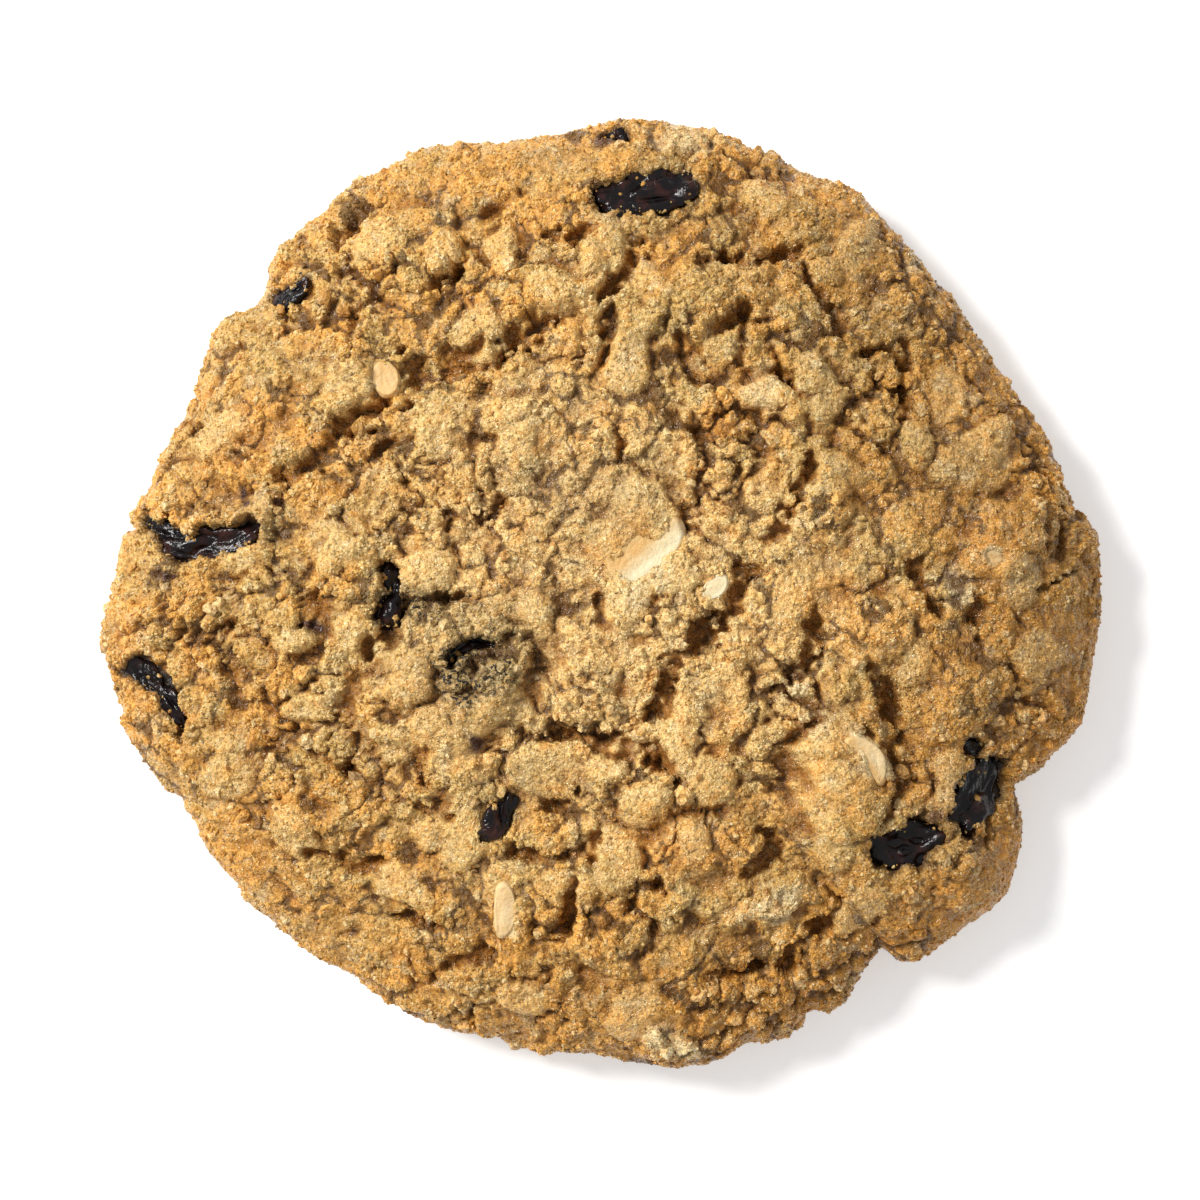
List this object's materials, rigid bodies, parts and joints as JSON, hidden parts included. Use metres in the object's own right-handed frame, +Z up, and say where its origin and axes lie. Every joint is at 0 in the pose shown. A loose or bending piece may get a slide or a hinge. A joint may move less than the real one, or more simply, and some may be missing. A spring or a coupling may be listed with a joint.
{
  "type": "oatmeal cookie",
  "caption": "Round baked oatmeal cookie with a cracked, crumbly domed top, raisins and white chocolate pieces set in it, and a flat underside.",
  "frame": {"origin": "the middle of the flat underside, on the surface that the cookie lies on", "axes": "+Z up through the domed top; +X and +Y to the right and up as the cookie is seen from above"},
  "size_m": [0.1007, 0.095, 0.0156],
  "materials": {
    "dough": "golden brown baked oat dough, matt with fine sugar sparkle, darker in its cracks and at its rim",
    "raisin": "wrinkled, shiny, almost black dried fruit",
    "white_chocolate": "smooth cream, toasted brown where it stands proud"
  },
  "bodies": {
    "root": {"dough": "dough", "raisin_far_edge": "raisin", "raisin_left": "raisin", "raisin_lower_left": "raisin", "raisin_middle_left": "raisin", "raisin_under_arch": "raisin", "raisin_leaf": "raisin", "raisin_lobe_left": "raisin", "raisin_lobe_right": "raisin", "raisin_above_lobe": "raisin", "raisin_upper_left": "raisin", "raisin_far_rim": "raisin", "white_chocolate_middle": "white_chocolate", "white_chocolate_chip": "white_chocolate", "white_chocolate_lump": "white_chocolate", "white_chocolate_near": "white_chocolate", "white_chocolate_right": "white_chocolate", "white_chocolate_nub": "white_chocolate"}
  },
  "joints": []
}
